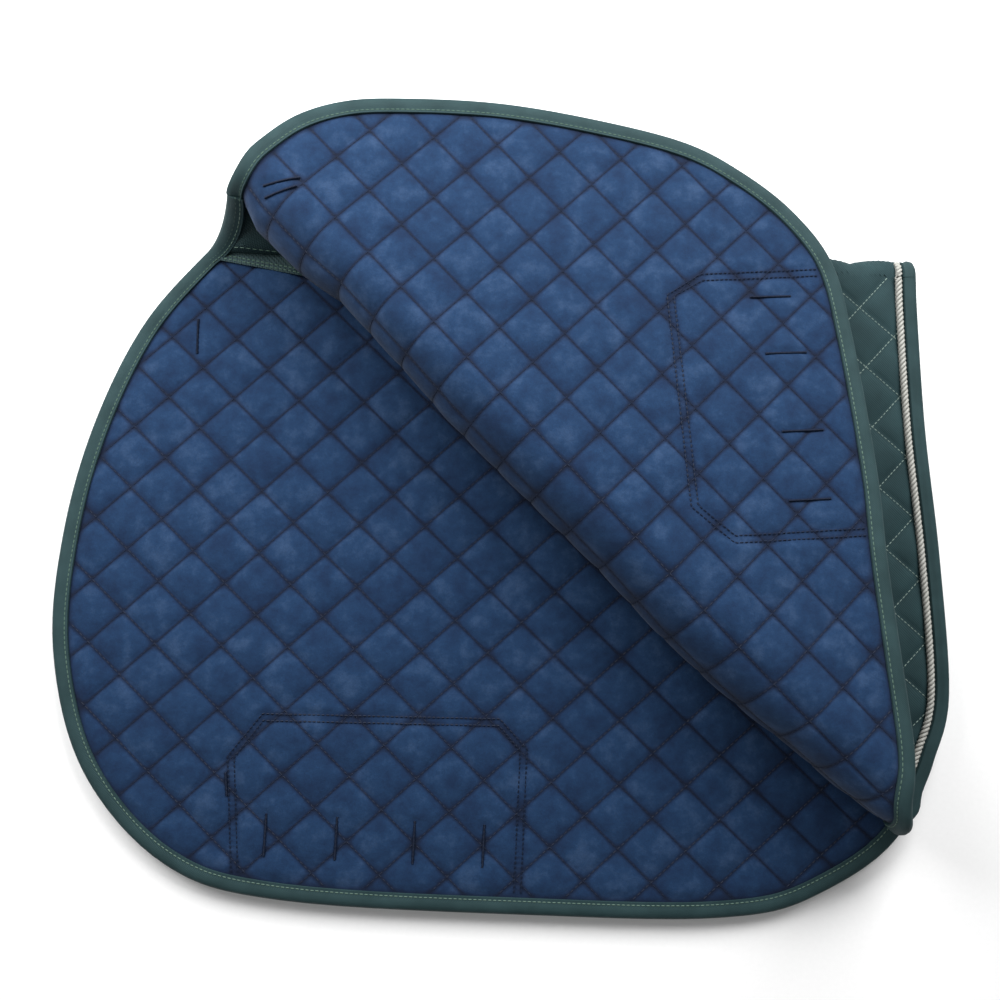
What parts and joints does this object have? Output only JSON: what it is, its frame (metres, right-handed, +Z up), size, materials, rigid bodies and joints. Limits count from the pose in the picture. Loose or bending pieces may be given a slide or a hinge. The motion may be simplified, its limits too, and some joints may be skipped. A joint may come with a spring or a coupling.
{
  "type": "saddle pad",
  "caption": "Quilted saddle pad folded in half at the spine, with the front corner of its upper flap turned back over a soft roll, edge binding, trim cord and girth fittings.",
  "frame": {"origin": "on the surface that the pad lies on, under the middle of its footprint", "axes": "+X along the spine towards the rear of the pad, -Y down the flaps, +Z up out of the near flap's lining"},
  "size_m": [0.6656, 0.5889, 0.091],
  "materials": {
    "navy_velour": "quilted velour with a soft sheen",
    "green_twill": "quilted matt twill",
    "green_binding": "matt woven binding",
    "green_webbing": "ribbed webbing",
    "silver_cord": "twisted satin cord",
    "white_wadding": "loose polyester wadding",
    "navy_thread": "tight sewing thread"
  },
  "bodies": {
    "near_flap": {"near_outer_panel": "green_twill", "near_wadding": "white_wadding", "near_lining_panel": "navy_velour", "near_edge_binding": "green_binding", "near_trim_cord": "silver_cord", "near_girth_patch": "green_twill", "near_girth_webbing": "green_webbing", "near_billet_strap": "green_webbing", "near_bar_tacks": "navy_thread"},
    "spine_strip": {"spine_outer_strip": "green_twill", "spine_wadding": "white_wadding", "spine_tape": "green_binding", "spine_binding_front": "green_binding", "spine_binding_rear": "green_binding"},
    "far_flap": {"far_outer_panel": "green_twill", "far_wadding": "white_wadding", "far_lining_panel": "navy_velour", "far_edge_binding": "green_binding", "far_trim_cord": "silver_cord"},
    "fold_roll": {"roll_outer_panel": "green_twill", "roll_wadding": "white_wadding", "roll_lining_panel": "navy_velour", "roll_binding_front": "green_binding", "roll_binding_rear": "green_binding", "roll_billet_strap": "green_webbing"},
    "corner": {"corner_outer_panel": "green_twill", "corner_wadding": "white_wadding", "corner_lining_panel": "navy_velour", "corner_edge_binding": "green_binding", "corner_trim_cord": "silver_cord", "corner_girth_patch": "green_twill", "corner_girth_webbing": "green_webbing", "corner_bar_tacks": "navy_thread"}
  },
  "joints": [
    {"name": "spine_lower_fold", "type": "hinge", "parent": "near_flap", "child": "spine_strip", "pos_m": [0.0315, 0.19686, 0.00914], "axis": [-1, 0, 0], "range_deg": [0, 90], "deforming": ["spine_outer_strip", "spine_wadding", "spine_tape", "spine_binding_front", "spine_binding_rear"]},
    {"name": "spine_upper_fold", "type": "hinge", "parent": "spine_strip", "child": "far_flap", "pos_m": [0.0315, 0.19686, 0.01746], "axis": [-1, 0, 0], "range_deg": [0, 90]},
    {"name": "crease_lower_fold", "type": "hinge", "parent": "far_flap", "child": "fold_roll", "pos_m": [0.01057, 0.02036, 0.02381], "axis": [0.7466, -0.6652, 0], "range_deg": [0, 94.9], "deforming": ["roll_outer_panel", "roll_wadding", "roll_lining_panel", "roll_binding_front", "roll_binding_rear", "roll_billet_strap"]},
    {"name": "crease_upper_fold", "type": "hinge", "parent": "fold_roll", "child": "corner", "pos_m": [0.0141, 0.02431, 0.08565], "axis": [0.7466, -0.6652, 0], "range_deg": [0, 94.9]}
  ],
  "couplings": [
    {"joint": "spine_upper_fold", "follows": "spine_lower_fold", "ratio": 1},
    {"joint": "crease_upper_fold", "follows": "crease_lower_fold", "ratio": 1}
  ]
}
